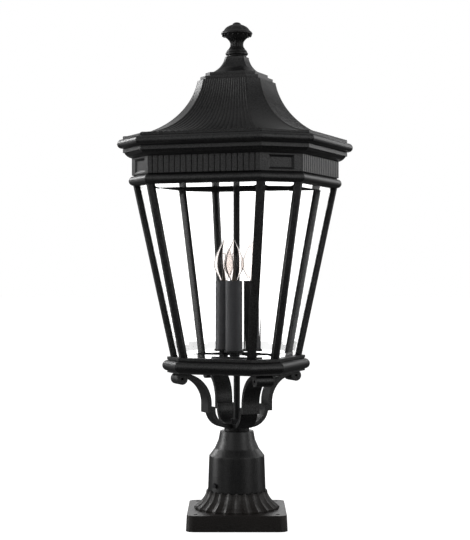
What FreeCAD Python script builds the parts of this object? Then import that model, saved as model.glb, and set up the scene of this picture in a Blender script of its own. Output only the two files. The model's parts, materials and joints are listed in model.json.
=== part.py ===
"""Triple candle post lantern on a fluted pier mount.

Millimetres, +Z up, origin under the middle of the plate.
"""

import FreeCAD
import Part
import math
import os

vec = FreeCAD.Vector
up = vec(0, 0, 1)

# how far the lantern is turned on its post, seen from above
lantern_yaw = -21.1

# pier mount: square plate, fluted skirt and the post stub that it holds
plate_side = 148.6
plate_draft = 1.2
plate_height = 23.5
plate_corner = 12.0
plate_wall = 6.0
bolt_spacing = 120.0
bolt_hole_radius = 3.25
bolt_boss_radius = 8.0
skirt_foot_radius = 64.0
skirt_rim_radius = 45.5
skirt_height = 27.5
skirt_edge = 2.5
skirt_sweep = 1.9
flute_count = 24
flute_hollow_share = 0.25
flute_stations = 5
shoulder_drop = 2.0
stub_radius = 38.1
stub_wall = 3.2
stub_height = 96.5
stub_sink = 14.0
skirt_wall = 5.0

# cast cup over the post stub
fitter_foot_radius = 43.4
fitter_waist_radius = 41.5
fitter_waist_height = 53.5
fitter_top_radius = 25.0
fitter_height = 90.5
fitter_flare = 3.6
fitter_clearance = 0.65
fitter_rim_gap = 0.7
fitter_crown_wall = 9.0
fitter_shoulder_wall = 4.5
fitter_lead = 1.0
set_screw_radius = 3.0
set_screw_head_radius = 3.5
set_screw_head = 2.4
set_screw_height = 11.0
set_screw_count = 2
set_screw_angle = -117.0
running_gap = 0.3
turned_chords = 3
lobe_chords = 4

# hub, stem pipe and nuts
hub_radius = 18.75
hub_height = 11.4
hub_cap_radius = 12.0
hub_cap_height = 1.2
stem_radius = 4.9
stem_bore = 3.4
stem_above_collar = 11.0
stem_past_nut = 2.0
nut_flats = 17.0
nut_height = 5.0

# four scroll brackets under the narrow sides
bracket_count = 4
bracket_width = 26.5
bracket_joint_radius = 46.25
cradle_thickness = 6.0
cradle_bend = 26.0
cradle_bottom = 5.0
cradle_rise = 4.0
strap_thickness = 6.5
strap_bend = 43.0
strap_lap = 4.95
roll_offset = 0.6
roll_radius = 8.3
roll_eye_radius = 2.0

# bottom ring of the cage
ring_flats = 178.3
ring_wide = 114.0
ring_rise = 89.0
ring_fillet = 4.2
ring_bead_radius = 7.9
ring_bead_inset = 1.2
ring_bead_drop = 0.8
ring_height = 23.4
ring_foot_out = -0.2
ring_seat_inset = 19.15
ring_ledge_inset = 15.15
ring_web_inset = 5.15
ring_flange = 4.5

# cage bars and bevelled panes
cage_foot_flats = 168.8
cage_head_flats = 261.5
cage_height = 253.2
bar_leg = 7.1
bar_depth = 8.2
groove_start = 2.6
groove_depth = 1.6
pane_thickness = 3.0
pane_bevel = 6.7
pane_end_bevel = 6.8
pane_bevel_depth = 0.9
pane_gap = 0.3

# reeded frieze above the glass
frieze_flats = 264.0
frieze_wide = 174.4
frieze_height = 40.2
frieze_wall = 4.5
frieze_flange = 3.5
frieze_flange_reach = 11.0
frieze_bead_radius = 6.9
frieze_bead_inset = 1.9
frieze_step = 1.5
frieze_step_rise = 0.5
frieze_field_bottom = 15.2
reed_count = 20
reed_crown = 1.25
reed_root = 1.0
reed_flank_share = 0.14
panel_width = 40.0
panel_height = 20.5
panel_depth = 2.4
panel_slope = 3.2

# eave mouldings, counted outwards from the frieze face and upwards from its top
ovolo_out = 11.0
ovolo_rise = 8.3
ovolo_bulge = 1.7
lower_fillet_out = 13.0
lower_fillet_height = 5.4
eave_step = 0.8
eave_bead_out = 20.9
eave_bead_radius = 6.9
eave_neck = 2.0
eave_gap = 0.3
eave_fillet_out = 13.0
eave_fillet_height = 2.9
eave_wall = 5.0
lip_drop = 6.0
lip_wall = 3.5
lip_gap = 0.5

# bell-cast roof
roof_foot_flats = 303.1
roof_curve = 104.0
roof_overrun = 6.6
roof_rise = 86.1
roof_top_wide_share = 0.70
roof_wall = 3.0
rib_crown_share = 0.15
rib_seat = 0.2
rib_root = 1.0
rib_flank_share = 0.27
rib_stations = 8

# stepped cap on the roof
cap_step_flats = 92.0
cap_step_height = 5.5
cap_fillet_flats = 79.0
cap_fillet_height = 6.0
cap_foot_flats = 71.0
cap_head_flats = 30.5
cap_head_height = 37.0
cap_bulge = 4.8
cap_wall = 4.0
stem_gap = 0.4

# finial and the washer under it
washer_radius = 14.5
washer_height = 2.6
washer_step_out = 2.0
washer_step_up = 1.0
finial_collar_radius = 17.0
finial_collar_height = 3.3
finial_ring_radius = 15.6
finial_foot_radius = 13.2
finial_foot_height = 6.6
finial_waist_radius = 9.1
finial_waist_height = 15.5
finial_flare_power = 2.45
finial_flare_radius = 18.4
finial_head_bottom = 29.4
finial_rim_radius = 21.9
finial_rim_height = 32.0
finial_dome_power = 1.8
finial_dome_share = 0.85
finial_tip_share = 0.97
finial_petal_count = 12
finial_petal_share = 0.12
finial_height = 50.9
finial_lobe_count = 18
finial_lobe_share = 0.3
finial_stations = 4
finial_bore_depth = 15.0

# candle cluster
dish_radius = 38.0
dish_rise = 19.0
dish_height = 8.0
dish_wall = 1.6
candle_count = 3
candle_circle = 25.0
candle_angle = -77.9
cup_radius = 14.5
cup_foot_radius = 6.5
cup_rise = 4.3
cup_lip = 1.6
cup_wall = 1.4
candle_radius = 12.5
candle_wall = 1.1
candle_length = 104.7
post_radius = 4.8
post_wall = 1.2
socket_radius = 10.4
socket_length = 44.0
socket_recess = 2.0
socket_bore_depth = 27.0

# clear candle lamps
base_radius = 5.9
base_length = 24.0
base_gap = 0.35
base_recess = 1.0
glass_neck_radius = 5.6
glass_widest_radius = 15.2
glass_widest_height = 24.0
glass_length = 64.0
glass_wall = 0.8
glass_taper = 1.35
glass_sides = 5
glass_stations = 4
glass_tip_share = 0.97
filament_radius = 0.35
filament_spread = 2.6
filament_height = 24.0
filament_root = 0.6
filament_sink = 1.0
mount_radius = 3.4
mount_height = 17.0
mount_taper = 3

# heights that follow from the sizes above
skirt_top = plate_height + skirt_height
fitter_bottom = skirt_top - shoulder_drop
fitter_top = fitter_bottom + fitter_height
hub_top = fitter_top + hub_height
ring_bottom = fitter_top + ring_rise
ring_top = ring_bottom + ring_height
frieze_bottom = ring_top + cage_height
frieze_top = frieze_bottom + frieze_height
eave_bead_low = frieze_top + ovolo_rise + lower_fillet_height + eave_step
eave_top = eave_bead_low + 2 * eave_bead_radius + eave_gap + eave_fillet_height
roof_top = eave_top + roof_rise
cap_top = roof_top + cap_head_height
collar_bottom = cap_top + washer_height
stem_top = collar_bottom + stem_above_collar
dish_bottom = ring_bottom + dish_rise
candle_bottom = dish_bottom + dish_height + cup_rise
candle_top = candle_bottom + candle_length
half_corner = math.radians(22.5)
corner_growth = 2 * math.tan(half_corner)
reach = 2 * plate_side


def save(name, shape):
    shape.exportStep("parts/" + name + ".step")
    return shape


def lantern(name, shape):
    return save(name, shape.rotated(vec(), up, lantern_yaw))


def outline(start, *moves):
    """Closed wire in the XY plane; a third value bends the line to that point, bulging left of the travel."""
    here = vec(*start)
    edges = []
    for move in moves:
        there = vec(move[0], move[1])
        if len(move) == 3:
            along = there - here
            side = vec(-along.y, along.x).normalize()
            edges.append(Part.Arc(here, (here + there) / 2 + side * move[2], there).toShape())
        else:
            edges.append(Part.makeLine(here, there))
        here = there
    if here.distanceToPoint(vec(*start)) > 1e-6:
        edges.append(Part.makeLine(here, vec(*start)))
    return Part.Wire(edges)


def upright(shape):
    """Turns a flat outline of distance and height into the plane of X and Z."""
    return shape.rotated(vec(), vec(1, 0, 0), 90)


def chorded(start, moves):
    """The same outline with each bend as a few equal chords."""
    points = [start]
    for move in moves:
        ahead = vec(move[0], move[1])
        if len(move) == 3:
            behind = vec(*points[-1])
            along = ahead - behind
            side = vec(-along.y, along.x).normalize()
            arc = Part.Arc(behind, (behind + ahead) / 2 + side * move[2], ahead).toShape()
            points += [(p.x, p.y) for p in arc.discretize(turned_chords + 1)[1:-1]]
        points.append((ahead.x, ahead.y))
    return points


def turned(start, *moves):
    """Solid of revolution about Z from an outline of radius and height, its bends turned as short cones."""
    return Part.Face(upright(outline(*chorded(start, moves)))).revolve(vec(), up, 360)


def stacked(rings):
    """Flat-faced solid through a stack of polygons with as many corners each."""
    count = len(rings[0])
    faces = [Part.Face(Part.makePolygon(ring + ring[:1])) for ring in (rings[0], rings[-1])]
    for low, high in zip(rings, rings[1:]):
        for i in range(count):
            j = (i + 1) % count
            faces.append(Part.Face(Part.makePolygon([low[i], low[j], high[j], high[i], low[i]])))
    solid = Part.Solid(Part.Shell(faces))
    return solid if solid.Volume > 0 else solid.reversed()


def lobed(stations, count, bulge_share):
    """Body through stations of radius and height, ringed by lobes, or by flutes if the bulge is negative."""
    step = 360.0 / count
    bulge = 2 * math.sin(math.radians(step / 2)) * bulge_share
    rings = []
    for radius, height in stations:
        ring = []
        for i in range(count * lobe_chords):
            share = (i % lobe_chords) / lobe_chords
            swell = 1 + bulge * math.sin(math.pi * share)
            turn = FreeCAD.Rotation(up, step * i / lobe_chords - 90)
            ring.append(turn.multVec(vec(radius * swell, 0, height)))
        rings.append(ring)
    return stacked(rings)


def tube(outer, inner, bottom, top):
    rod = Part.makeCylinder(outer, top - bottom, vec(0, 0, bottom))
    return rod.cut(Part.makeCylinder(inner, top - bottom + 2, vec(0, 0, bottom - 1)))


def ring_of(shape, count, first=0.0):
    """Copies of a shape at even turns about Z."""
    return [shape.rotated(vec(), up, first + 360.0 * i / count) for i in range(count)]


def octagon(flats, wide, z):
    """Corners of an octagon with four wide and four narrow sides, from the front side's right end."""
    half = flats / 2
    side = wide / 2
    quarter = [vec(side, -half, z), vec(half, -side, z)]
    turns = [FreeCAD.Rotation(up, 90.0 * i) for i in range(4)]
    return [turn.multVec(corner) for turn in turns for corner in quarter]


def moulding(flats, wide, *points):
    """Sweeps an outline of distance and height round an octagon, mitred at its corners."""
    corners = octagon(flats, wide, points[0][1])
    middle = vec(0, -flats / 2, points[0][1])
    path = Part.makePolygon([middle] + corners + [middle])
    profile = upright(outline(*points)).rotated(vec(), up, -90)
    return path.makePipeShell([profile], True, False, 1)


def narrow_distance(flats, wide):
    """Distance of an octagon's narrow sides from its axis."""
    return (flats + wide) / (2 * math.sqrt(2))


def vault(wide_edges, wide_slope, narrow_start):
    """Octagonal solid whose wide sides follow the edges; the narrow ones follow them at their own spread."""
    spread = FreeCAD.Matrix()
    spread.A11 = wide_slope
    spread.A14 = narrow_start
    narrow_edges = Part.Wire(wide_edges.transformGeometry(spread).Edges)
    solid = None
    for turn in range(8):
        wire = narrow_edges if turn % 2 else wide_edges
        low = wire.OrderedVertexes[0].Point
        high = wire.OrderedVertexes[-1].Point
        back = [low, vec(-reach, low.y), vec(-reach, high.y), high]
        face = Part.Face(Part.Wire(wire.Edges + Part.makePolygon(back).Edges))
        bar = upright(face).extrude(vec(0, 2 * reach, 0)).translated(vec(0, -reach, 0))
        bar = bar.rotated(vec(), up, 45.0 * turn)
        solid = bar if solid is None else solid.common(bar)
    return solid


def comb(stations, count, crown_share, flank_share):
    """Reeds side by side across a front face, each a flat crest between two flanks.

    A station holds the distance, height, outward lean, width and root depth.
    """
    wires = []
    for distance, height, lean, width, root in stations:
        pitch = width / count

        def spot(across, lift):
            return vec(across, -(distance + lift * lean[0]), height + lift * lean[1])

        crest = rib_seat + crown_share * pitch
        points = [spot(-width / 2, rib_seat)]
        for i in range(count):
            left = i * pitch - width / 2
            points.append(spot(left + pitch * flank_share, crest))
            points.append(spot(left + pitch * (1 - flank_share), crest))
            points.append(spot(left + pitch, rib_seat))
        points += [spot(width / 2, -root), spot(-width / 2, -root)]
        wires.append(Part.makePolygon(points + points[:1]))
    return Part.makeLoft(wires, True, True)


def pier_plate():
    """Drafted square plate with its fluted skirt, hollow from below."""
    top_side = plate_side - 2 * plate_draft
    solid = drafted_square(plate_side, top_side, plate_corner, 0, plate_height)
    bowl = plate_height - plate_wall
    trim = 2 * plate_wall
    hollow = drafted_square(plate_side - trim, top_side - trim, plate_corner - plate_wall, 0, bowl)
    boss = Part.makeCylinder(bolt_boss_radius, bowl, vec(bolt_spacing / 2, bolt_spacing / 2, 0))
    hole = Part.makeCylinder(bolt_hole_radius, plate_height, vec(bolt_spacing / 2, bolt_spacing / 2, 0))
    solid = solid.cut(hollow).fuse(ring_of(boss, 4)).common(
        drafted_square(plate_side, top_side, plate_corner, 0, plate_height)
    )
    solid = solid.fuse(fluted_skirt())
    solid = solid.cut(ring_of(hole, 4))
    seat = skirt_top - shoulder_drop
    solid = solid.cut(Part.makeCylinder(fitter_foot_radius + fitter_rim_gap, shoulder_drop, vec(0, 0, seat)))
    solid = solid.cut(Part.makeCylinder(stub_radius, seat, vec(0, 0, stub_sink)))
    pocket = Part.makeCylinder(stub_radius + skirt_wall, seat - 2 * skirt_wall, vec())
    return solid.cut(pocket).removeSplitter()


def drafted_square(side_low, side_high, corner, low, high):
    """Rounded square block that narrows upwards."""
    wires = []
    for side, z in ((side_low, low), (side_high, high)):
        half = side / 2
        flat = Part.makePlane(side, side, vec(-half, -half, z))
        block = flat.extrude(vec(0, 0, 1))
        uprights = [e for e in block.Edges if abs(e.Vertexes[0].Z - e.Vertexes[-1].Z) > 0.5]
        block = block.makeFillet(corner, uprights)
        lowest = min(block.Faces, key=lambda f: f.CenterOfMass.z)
        wires.append(lowest.OuterWire)
    return Part.makeLoft(wires, True, True)


def fluted_skirt():
    """Bell-mouthed skirt with concave flutes between sharp ridges, on an upright edge."""
    low = plate_height + skirt_edge
    stations = [(skirt_foot_radius, plate_height - plate_wall / 2)]
    for i in range(flute_stations + 1):
        share = i / flute_stations
        flare = (skirt_foot_radius - skirt_rim_radius) * (1 - share) ** skirt_sweep
        stations.append((skirt_rim_radius + flare, low + (skirt_top - low) * share))
    return lobed(stations, flute_count, -flute_hollow_share)


def post_stub():
    return tube(stub_radius, stub_radius - stub_wall, stub_sink, stub_height)


def post_fitter():
    """Cup over the post stub: straight bore, hollow shoulder and a thick top that carries the stem."""
    bore = stub_radius + fitter_clearance
    neck = fitter_top_radius - fitter_shoulder_wall
    waist = fitter_bottom + fitter_waist_height
    shell = turned(
        (0, fitter_bottom), (fitter_foot_radius, fitter_bottom), (fitter_waist_radius, waist),
        (fitter_top_radius, fitter_top, fitter_flare), (0, fitter_top),
    )
    ceiling = fitter_top - fitter_crown_wall
    room = turned(
        (0, fitter_bottom), (bore, fitter_bottom), (bore, waist - fitter_lead),
        (neck, ceiling), (0, ceiling),
    )
    stem_hole = Part.makeCylinder(stem_radius, fitter_height, vec(0, 0, fitter_bottom))
    holes = [screw_rod(set_screw_radius, a) for a in screw_angles()]
    return shell.cut([room, stem_hole] + holes)


def screw_angles():
    return [set_screw_angle + 360.0 * i / set_screw_count for i in range(set_screw_count)]


def screw_rod(radius, angle, start=0.0, length=None):
    """Radial rod at the height of the set screws."""
    span = fitter_foot_radius * 2 if length is None else length
    rod = Part.makeCylinder(radius, span, vec(start, 0, fitter_bottom + set_screw_height), vec(1, 0, 0))
    return rod.rotated(vec(), up, angle)


def set_screw(angle):
    tip = stub_radius + running_gap
    low_edge = set_screw_height - set_screw_head_radius
    seat = fitter_foot_radius - (fitter_foot_radius - fitter_waist_radius) * low_edge / fitter_waist_height
    shank = screw_rod(set_screw_radius, angle, tip, seat - tip)
    head = screw_rod(set_screw_head_radius, angle, seat, set_screw_head)
    return shank.fuse(head)


def bracket_hub():
    """Round hub on the fitter, with a shallow cap round the stem."""
    return turned(
        (stem_radius, fitter_top), (hub_radius, fitter_top), (hub_radius, hub_top),
        (hub_cap_radius, hub_top + hub_cap_height), (stem_radius, hub_top + hub_cap_height),
    )


def nut(bottom):
    """Hexagon nut on the stem."""
    corners = [vec(nut_flats / math.sqrt(3), 0, bottom)]
    turns = [FreeCAD.Rotation(up, 60.0 * i).multVec(corners[0]) for i in range(7)]
    block = Part.Face(Part.makePolygon(turns)).extrude(vec(0, 0, nut_height))
    return block.cut(Part.makeCylinder(stem_radius, nut_height, vec(0, 0, bottom)))


def stem_pipe():
    foot = fitter_top - fitter_crown_wall - nut_height - stem_past_nut
    return tube(stem_radius, stem_bore, foot, stem_top)


def strap(*points):
    """Strip of the bracket's width from its side outline of distance and height."""
    face = Part.Face(upright(outline(*points)))
    return face.extrude(vec(0, bracket_width, 0)).translated(vec(0, -bracket_width / 2, 0))


def arc_strip(cx, cz, middle_radius, thickness, start, end):
    """Strap bent about a centre between two angles in degrees, counted from outwards to upwards."""
    inner = middle_radius - thickness / 2
    outer = middle_radius + thickness / 2

    def spot(radius, angle):
        turn = math.radians(angle)
        return vec(cx + radius * math.cos(turn), 0, cz + radius * math.sin(turn))

    half = (start + end) / 2
    edges = [
        Part.Arc(spot(outer, start), spot(outer, half), spot(outer, end)).toShape(),
        Part.makeLine(spot(outer, end), spot(inner, end)),
        Part.Arc(spot(inner, end), spot(inner, half), spot(inner, start)).toShape(),
        Part.makeLine(spot(inner, start), spot(outer, start)),
    ]
    face = Part.Face(Part.Wire(edges))
    return face.extrude(vec(0, bracket_width, 0)).translated(vec(0, -bracket_width / 2, 0))


def scroll_arm():
    """One bracket: a cradle strap from the hub and a longer strap that curls under the ring."""
    cradle_middle = bracket_joint_radius - cradle_thickness / 2
    cradle_x = cradle_middle - cradle_bend
    cradle_z = fitter_top + cradle_bottom + cradle_thickness / 2 + cradle_bend
    half = cradle_thickness / 2
    cradle = arc_strip(cradle_x, cradle_z, cradle_bend, cradle_thickness, -90, 0)
    root = strap(
        (0, cradle_z - cradle_bend - half), (cradle_x, cradle_z - cradle_bend - half),
        (cradle_x, cradle_z - cradle_bend + half), (0, cradle_z - cradle_bend + half),
    )
    lip = strap(
        (cradle_middle - half, cradle_z), (cradle_middle + half, cradle_z),
        (cradle_middle + half, cradle_z + cradle_rise), (cradle_middle - half, cradle_z + cradle_rise),
    )
    strap_x = bracket_joint_radius + strap_thickness / 2 + strap_bend
    strap_z = ring_bottom - strap_thickness / 2 - strap_bend
    bend = arc_strip(strap_x, strap_z, strap_bend, strap_thickness, 90, 180)
    near = bracket_joint_radius
    far = bracket_joint_radius + strap_thickness
    foot = cradle_z - strap_lap
    tail = strap((near, foot), (far, foot), (far, strap_z), (near, strap_z))
    roll_x = strap_x + roll_offset
    bridge = strap(
        (strap_x, ring_bottom - strap_thickness), (roll_x, ring_bottom - strap_thickness),
        (roll_x, ring_bottom), (strap_x, ring_bottom),
    )
    arm = cradle.fuse([root, lip, tail, bend, bridge, scroll_roll(roll_x)]).removeSplitter()
    return arm.cut(Part.makeCylinder(hub_radius, hub_height, vec(0, 0, fitter_top)))


def scroll_roll(x):
    """Closed roll at a strap's end, with a small eye."""
    middle = vec(x, -bracket_width / 2, ring_bottom - roll_radius)
    roll = Part.makeCylinder(roll_radius, bracket_width, middle, vec(0, 1, 0))
    return roll.cut(Part.makeCylinder(roll_eye_radius, bracket_width, middle, vec(0, 1, 0)))


def bottom_ring():
    """Moulded ring with a lower flange on the brackets and an upper one under bars and glass."""
    out = ring_flats / 2
    bead_middle = ring_top - ring_fillet - ring_bead_drop - ring_bead_radius
    bead_low = bead_middle - ring_bead_radius
    bead_face = out - ring_bead_inset
    return moulding(
        ring_flats, ring_wide,
        (out, ring_top), (out, ring_top - ring_fillet), (bead_face, ring_top - ring_fillet),
        (bead_face, bead_middle + ring_bead_radius), (bead_face, bead_low, ring_bead_radius),
        (out + ring_foot_out, bead_low), (out + ring_foot_out, ring_bottom),
        (out - ring_seat_inset, ring_bottom), (out - ring_seat_inset, ring_bottom + ring_flange),
        (out - ring_web_inset, ring_bottom + ring_flange), (out - ring_web_inset, ring_top - ring_flange),
        (out - ring_ledge_inset, ring_top - ring_flange), (out - ring_ledge_inset, ring_top),
    )


def cage(z):
    """Flats and wide side of the cage's outside at a height."""
    share = (z - ring_top) / (frieze_bottom - ring_top)
    flats = cage_foot_flats + (cage_head_flats - cage_foot_flats) * share
    foot_wide = ring_wide - (ring_flats - cage_foot_flats) / 2 * corner_growth
    head_wide = frieze_wide - (frieze_flats - cage_head_flats) / 2 * corner_growth
    return flats, foot_wide + (head_wide - foot_wide) * share


def cage_bar(index):
    """Bar along one of the cage's corners, grooved down both sides for the panes."""
    ends = []
    for z in (ring_top, frieze_bottom):
        outer = octagon(*cage(z), z)
        corner = outer[index]
        left = (outer[index - 1] - corner).normalize()
        right = (outer[(index + 1) % 8] - corner).normalize()
        inwards = (left + right).normalize()
        heel = corner + inwards * (bar_depth / math.cos(half_corner))
        left_side = bar_side(corner, left, inwards)
        right_side = bar_side(corner, right, inwards)
        ends.append(left_side[::-1] + [corner] + right_side + [heel])
    return stacked(ends)


def bar_side(corner, along, inwards):
    """Corners of one side of a bar from its face to its back, with the groove between."""
    deep = (inwards - along * inwards.dot(along)).normalize()
    root = bar_leg - groove_depth
    groove_end = groove_start + pane_thickness + 2 * pane_gap
    steps = [
        (bar_leg, 0), (bar_leg, groove_start), (root, groove_start),
        (root, groove_end), (bar_leg, groove_end), (bar_leg, bar_depth),
    ]
    return [corner + along * leg + deep * depth for leg, depth in steps]


def pane_corners(z, wide_side):
    """Half width and outer distance of a pane at a height."""
    flats, wide = cage(z)
    width = wide if wide_side else (flats - wide) / math.sqrt(2)
    distance = flats / 2 if wide_side else narrow_distance(flats, wide)
    hidden = bar_leg - groove_depth + pane_gap
    return width / 2 - hidden, distance - groove_start - pane_gap


def pane(wide_side):
    """Trapezoid of plate glass with a wide bevel round its outer face."""
    half_low, out_low = pane_corners(ring_top, wide_side)
    half_high, out_high = pane_corners(frieze_bottom, wide_side)
    ends = []
    for half, out, z in ((half_low, out_low, ring_top), (half_high, out_high, frieze_bottom)):
        back = -(out - pane_thickness)
        ends.append([vec(-half, -out, z), vec(half, -out, z), vec(half, back, z), vec(-half, back, z)])
    return stacked(ends).cut(pane_bevels(half_low, out_low, half_high, out_high))


def pane_bevels(half_low, out_low, half_high, out_high):
    """Wedges that take the bevel off a pane's four outer edges."""
    rise = frieze_bottom - ring_top
    lean = (out_high - out_low) / rise
    wedges = []
    for z, way in ((ring_top, 1), (frieze_bottom, -1)):
        face = -(out_low if way > 0 else out_high)
        tip = vec(-reach, face - way * pane_end_bevel * lean, z + way * pane_end_bevel)
        past = vec(-reach, face - pane_bevel_depth, z)
        root = vec(-reach, face + pane_bevel_depth, z)
        wedge = Part.Face(Part.makePolygon([tip, past - up * way, root, tip]))
        wedges.append(wedge.extrude(vec(2 * reach, 0, 0)))
    for side in (1, -1):
        ends = []
        for half, out, z in ((half_low, out_low, ring_top), (half_high, out_high, frieze_bottom)):
            tip = vec(side * (half - pane_bevel), -out, z)
            past = vec(side * (half + pane_bevel), -out - pane_bevel_depth, z)
            root = vec(side * (half + pane_bevel), -out + 2 * pane_bevel_depth, z)
            ends.append([tip, past, root])
        wedges.append(stacked(ends))
    return wedges


def frieze_ring():
    """Band above the glass: half-round bead, reeded wide sides, sunk panels and a flange over the panes."""
    out = frieze_flats / 2
    bead_middle = frieze_bottom + frieze_bead_radius
    bead_face = out - frieze_bead_inset
    field = frieze_bottom + frieze_field_bottom
    flange_top = frieze_bottom + frieze_flange
    band = moulding(
        frieze_flats, frieze_wide,
        (out, frieze_top), (out, field), (out - frieze_step, field),
        (out - frieze_step, field - frieze_step_rise),
        (bead_face, bead_middle + frieze_bead_radius), (bead_face, frieze_bottom, frieze_bead_radius),
        (out - frieze_flange_reach, frieze_bottom), (out - frieze_flange_reach, flange_top),
        (out - frieze_wall, flange_top), (out - frieze_wall, frieze_top),
    )
    lean = (1, 0)
    stations = [(out, z, lean, frieze_wide, reed_root) for z in (field, frieze_top)]
    reeds = comb(stations, reed_count, reed_crown * reed_count / frieze_wide, reed_flank_share)
    sunk = sunk_panel(narrow_distance(frieze_flats, frieze_wide), (field + frieze_top) / 2)
    return band.fuse(ring_of(reeds, 4)).cut(ring_of(sunk, 4, 45))


def sunk_panel(distance, middle):
    """Frustum that sinks a panel with sloping sides into a narrow side."""
    mouth = panel_outline(-distance, middle, 0)
    floor = panel_outline(panel_depth - distance, middle, panel_slope)
    lead = [p - vec(0, 1, 0) for p in mouth]
    return stacked([lead, mouth, floor])


def panel_outline(y, middle, shrink):
    half = panel_width / 2 - shrink
    tall = panel_height / 2 - shrink
    low = middle - tall
    high = middle + tall
    return [vec(-half, y, low), vec(half, y, low), vec(half, y, high), vec(-half, y, high)]


def eave():
    """Ovolo, fillet, bead and fillet round the roof's edge, with a lip down inside the frieze."""
    out = frieze_flats / 2
    ovolo_top = frieze_top + ovolo_rise
    fillet_top = ovolo_top + lower_fillet_height
    bead_high = eave_bead_low + 2 * eave_bead_radius
    bead_face = out + eave_bead_out - eave_bead_radius
    neck = bead_face - eave_neck
    fillet_low = eave_top - eave_fillet_height
    edge = out + eave_fillet_out
    lip_face = out - frieze_wall - lip_gap
    inside = edge - eave_wall
    return moulding(
        frieze_flats, frieze_wide,
        (out, frieze_top), (lip_face, frieze_top), (lip_face, frieze_top - lip_drop),
        (lip_face - lip_wall, frieze_top - lip_drop), (lip_face - lip_wall, frieze_top + lip_wall),
        (inside, ovolo_top + eave_step), (inside, eave_top), (edge, eave_top),
        (edge, fillet_low), (neck, fillet_low), (neck, bead_high), (bead_face, bead_high),
        (bead_face, eave_bead_low, eave_bead_radius), (neck, eave_bead_low), (neck, fillet_top),
        (out + lower_fillet_out, fillet_top), (out + lower_fillet_out, ovolo_top),
        (out + ovolo_out, ovolo_top), (out, frieze_top, ovolo_bulge),
    )


def roof_wide(distance):
    """Wide side of the roof's octagon at a distance of its wide sides."""
    foot = roof_foot_flats / 2 - roof_overrun
    foot_wide = frieze_wide + (foot - frieze_flats / 2) * corner_growth
    head = roof_foot_flats / 2 - roof_head_run()
    head_wide = 2 * head * roof_top_wide_share
    return foot_wide + (head_wide - foot_wide) * (foot - distance) / (foot - head)


def roof_head_run():
    """How far the roof's curve runs inwards on its way up."""
    return math.sqrt(roof_curve ** 2 - (roof_curve - roof_rise) ** 2)


def roof_form(grow, base, top):
    """Octagonal bell form whose wide sides follow an arc about a level outside the roof."""
    foot = roof_foot_flats / 2
    centre_z = eave_top + roof_curve
    radius = roof_curve + grow
    edge = math.sqrt(radius ** 2 - (roof_overrun + grow) ** 2)
    low = min(centre_z - base, edge)
    high = centre_z - top

    def spot(drop):
        return vec(foot - math.sqrt(max(radius ** 2 - drop ** 2, 0)), centre_z - drop)

    arc = Part.Arc(spot(low), spot(radius * math.cos(math.pi / 4)), spot(high)).toShape()
    head = foot - roof_head_run()
    narrow_foot = narrow_distance(2 * foot, roof_wide(foot))
    narrow_head = narrow_distance(2 * head, roof_wide(head))
    slope = (narrow_foot - narrow_head) / (foot - head)
    return vault(Part.Wire([arc]), slope, narrow_foot - slope * foot)


def roof_shell():
    """Bell-cast octagonal roof: eave mouldings, thin vaulted shell and converging ribs on the wide sides."""
    outer = roof_form(0, eave_top, roof_top)
    inner = roof_form(roof_wall, eave_top - roof_wall, roof_top - roof_wall)
    base = slab(roof_foot_flats - 2 * roof_overrun, eave_top - roof_wall / 2, roof_wall / 2 + rib_seat)
    shell = outer.fuse(base).cut(inner)
    stations = []
    start = math.asin(roof_overrun / roof_curve)
    sweep = math.acos((roof_curve - roof_rise) / roof_curve) - start
    for i in range(rib_stations + 1):
        angle = start + sweep * i / rib_stations
        lean = (math.sin(angle), math.cos(angle))
        distance = roof_foot_flats / 2 - roof_curve * lean[0]
        height = eave_top + roof_curve - roof_curve * lean[1]
        stations.append((distance, height, lean, roof_wide(distance), rib_root))
    ribs = comb(stations, reed_count, rib_crown_share, rib_flank_share)
    hole = Part.makeCylinder(stem_radius + stem_gap, roof_wall * 4, vec(0, 0, roof_top - roof_wall * 3))
    return shell.fuse([eave()] + ring_of(ribs, 4)).cut(hole)


def slab(flats, bottom, height):
    wide = roof_wide(flats / 2)
    corners = octagon(flats, wide, bottom)
    return Part.Face(Part.makePolygon(corners + corners[:1])).extrude(vec(0, 0, height))


def roof_cap():
    """Stepped cap with a hollow neck that carries the finial."""
    step_top = roof_top + cap_step_height
    fillet_top = step_top + cap_fillet_height
    foot = cap_foot_flats / 2
    head = cap_head_flats / 2
    solid = cap_form(
        (cap_step_flats / 2, roof_top), (cap_step_flats / 2, step_top), (cap_fillet_flats / 2, step_top),
        (cap_fillet_flats / 2, fillet_top), (foot, fillet_top), (head, cap_top, cap_bulge),
    )
    hollow = cap_form((foot - cap_wall, roof_top), (head - cap_wall, cap_top - cap_wall, cap_bulge))
    hole = Part.makeCylinder(stem_radius + stem_gap, cap_head_height, vec(0, 0, roof_top))
    return solid.cut([hollow, hole])


def cap_form(*points):
    """Octagonal solid through side points of distance and height, with the roof's spread of its sides."""
    edges = outline(*points).OrderedEdges[:-1]
    return vault(Part.Wire(edges), (1 + roof_top_wide_share) / math.sqrt(2), 0)


def finial_washer():
    bore = stem_radius + stem_gap
    step = cap_top + washer_step_up
    return turned(
        (bore, cap_top), (washer_radius - washer_step_out, cap_top), (washer_radius - washer_step_out, step),
        (washer_radius, step), (washer_radius, collar_bottom), (bore, collar_bottom),
    )


def finial():
    """Stepped collar, fluted waist and a domed head of petals, with a blind threaded bore."""
    z = collar_bottom
    collar = Part.makeCylinder(finial_collar_radius, finial_collar_height, vec(0, 0, z))
    ring = Part.makeCylinder(finial_ring_radius, finial_foot_height, vec(0, 0, z))
    waist = lobed(finial_waist(), finial_lobe_count, finial_lobe_share)
    head = lobed(finial_dome(), finial_petal_count, finial_petal_share)
    bore = Part.makeCylinder(stem_radius + running_gap / 4, finial_bore_depth, vec(0, 0, z))
    return collar.fuse([ring, waist, head]).cut(bore)


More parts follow.
